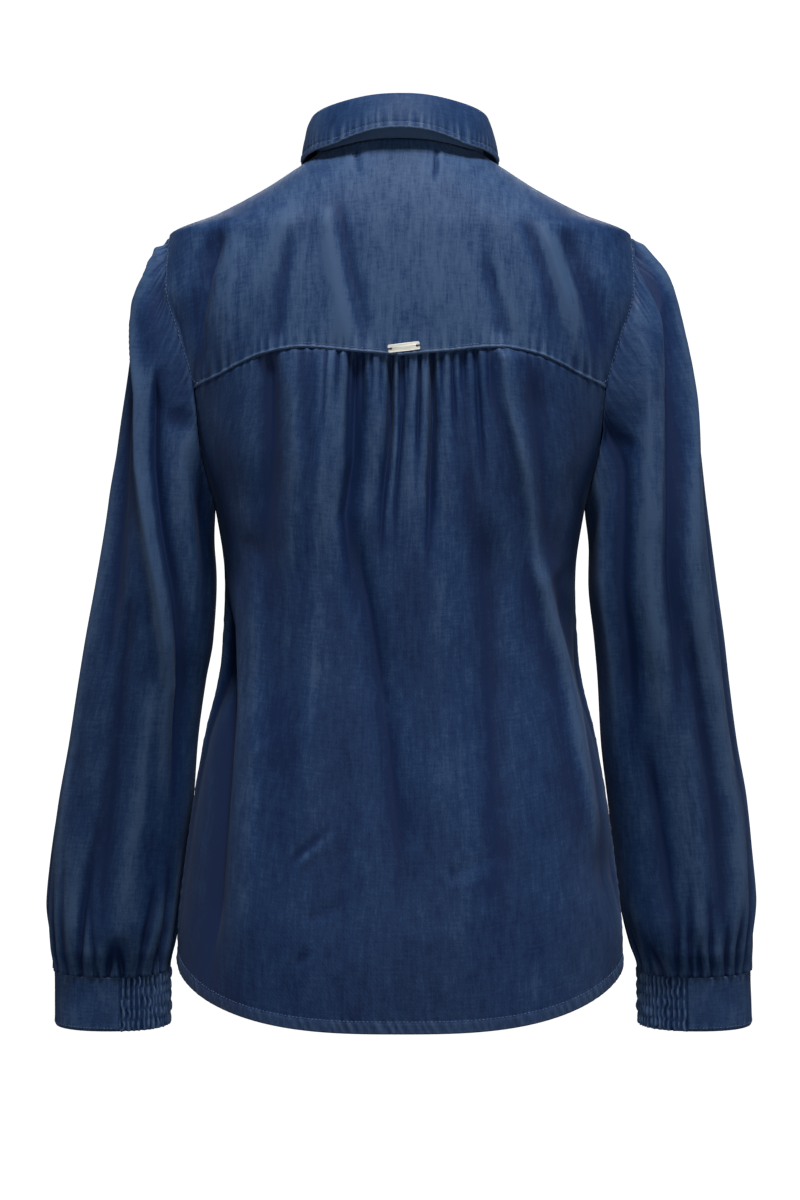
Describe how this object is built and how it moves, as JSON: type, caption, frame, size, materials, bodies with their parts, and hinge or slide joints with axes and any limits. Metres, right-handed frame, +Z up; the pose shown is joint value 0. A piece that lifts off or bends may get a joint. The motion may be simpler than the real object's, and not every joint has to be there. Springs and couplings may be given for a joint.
{
  "type": "shirt",
  "caption": "Long-sleeved button-front shirt in light denim, filled out as if worn, with a back yoke, gathered back and sleeves, and cuffs that are shirred on one side",
  "frame": {"origin": "middle of the neck, level with the side points of the neckline, where the wearer holds it up", "axes": "+Z up along the body, the front faces -Y, the wearer's left is +X"},
  "size_m": [0.5754, 0.2479, 0.7456],
  "materials": {
    "denim": "soft light twill denim, indigo, satin sheen",
    "buttons": "polished dark blue",
    "plate": "satin, pale"
  },
  "bodies": {
    "root": {"back_panel": "denim", "yoke": "denim", "front_left": "denim", "front_right": "denim", "sleeve_left": "denim", "sleeve_right": "denim", "cuff_band_left": "denim", "cuff_band_right": "denim", "cuff_shirred_left": "denim", "cuff_shirred_right": "denim", "collar_stand": "denim", "collar_fall": "denim", "button_1": "buttons", "button_2": "buttons", "button_3": "buttons", "button_4": "buttons", "button_5": "buttons", "button_6": "buttons", "button_7": "buttons", "button_stand": "buttons", "plate": "plate"}
  },
  "joints": []
}
